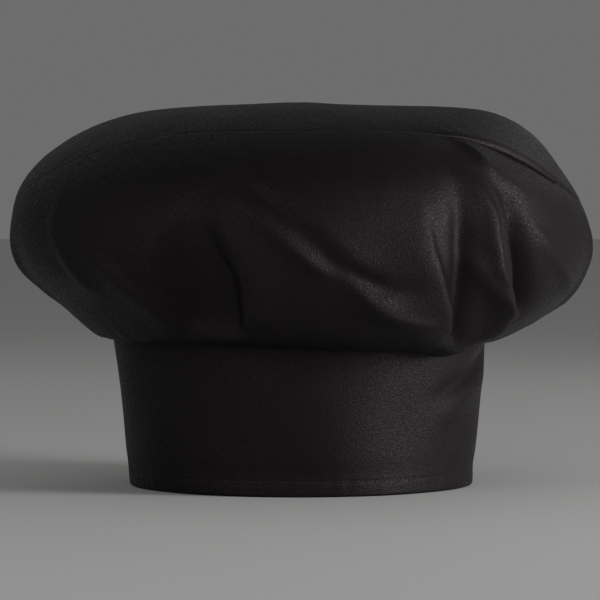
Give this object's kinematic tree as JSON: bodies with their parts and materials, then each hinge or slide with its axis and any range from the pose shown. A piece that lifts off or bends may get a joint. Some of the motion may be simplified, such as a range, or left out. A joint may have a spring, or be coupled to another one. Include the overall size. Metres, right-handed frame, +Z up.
{
  "type": "chef toque",
  "caption": "Soft black chef toque: a full gathered crown on a stiffened head band that closes at the back with a hook-and-loop tab.",
  "frame": {"origin": "centre of the band's lower rim, in the plane of the rim, under the middle of the crown", "axes": "+Z up through the crown; the front of the hat faces -Y and the closure tab is at the back, +Y; +X is on the right of the picture when the front is seen"},
  "size_m": [0.308, 0.322, 0.203],
  "materials": {
    "twill_black": "black poly-cotton twill, faint sheen",
    "interlining_black": "stiff black nonwoven, matte",
    "towelling_black": "black looped towelling, matte",
    "loop_pile_black": "black loop pile, matte",
    "hook_tape_black": "black nylon hooks, satin",
    "thread_black": "black polyester thread, faint sheen",
    "label_white": "blank white satin ribbon"
  },
  "bodies": {
    "hat": {"crown_top": "twill_black", "crown_side": "twill_black", "crown_seam_binding": "twill_black", "band_shell": "twill_black", "band_interlining": "interlining_black", "band_facing": "twill_black", "sweatband": "towelling_black", "band_seam_binding": "twill_black", "care_label": "label_white", "hem_topstitch": "thread_black", "sweatband_stitch": "thread_black", "loop_tape_lower": "loop_pile_black", "loop_tape_upper": "loop_pile_black", "loop_stitch_lower": "thread_black", "loop_stitch_upper": "thread_black", "bar_tack_lower": "thread_black", "bar_tack_upper": "thread_black"},
    "tab": {"tab_shell": "twill_black", "tab_interlining": "interlining_black", "tab_facing": "twill_black", "hook_tape_lower": "hook_tape_black", "hook_tape_upper": "hook_tape_black", "hook_stitch_lower": "thread_black", "hook_stitch_upper": "thread_black", "tab_edge_stitch": "thread_black"}
  },
  "joints": [
    {"name": "closure_tab", "type": "hinge", "parent": "hat", "child": "tab", "pos_m": [-0.02922, 0.09796, 0.042], "axis": [-0.0314, 0.0982, 0.9947], "range_deg": [0, 120]}
  ]
}
